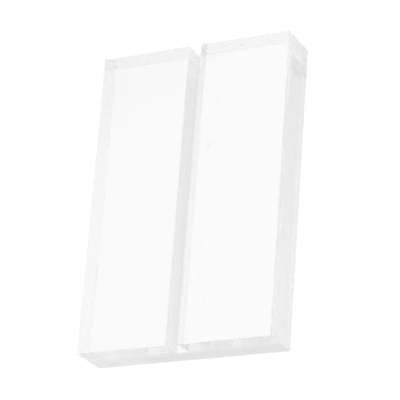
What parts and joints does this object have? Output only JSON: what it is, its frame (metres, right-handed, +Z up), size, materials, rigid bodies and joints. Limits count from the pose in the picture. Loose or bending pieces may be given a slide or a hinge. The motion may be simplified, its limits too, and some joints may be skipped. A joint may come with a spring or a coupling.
{
  "type": "sign holder",
  "caption": "Clear flat rectangular block with a lengthwise slot that holds the lower edge of a thin sign sheet upright.",
  "frame": {"origin": "centre of the flat underside", "axes": "+X along the slot, +Y across the block, +Z up, with the slot open upwards"},
  "size_m": [0.0768, 0.05, 0.011],
  "materials": {
    "clear_acrylic": "clear cast acrylic, polished faces, fine lengthwise cutting marks in the slot and on the edges"
  },
  "bodies": {
    "root": {"slotted_block": "clear_acrylic"}
  },
  "joints": []
}
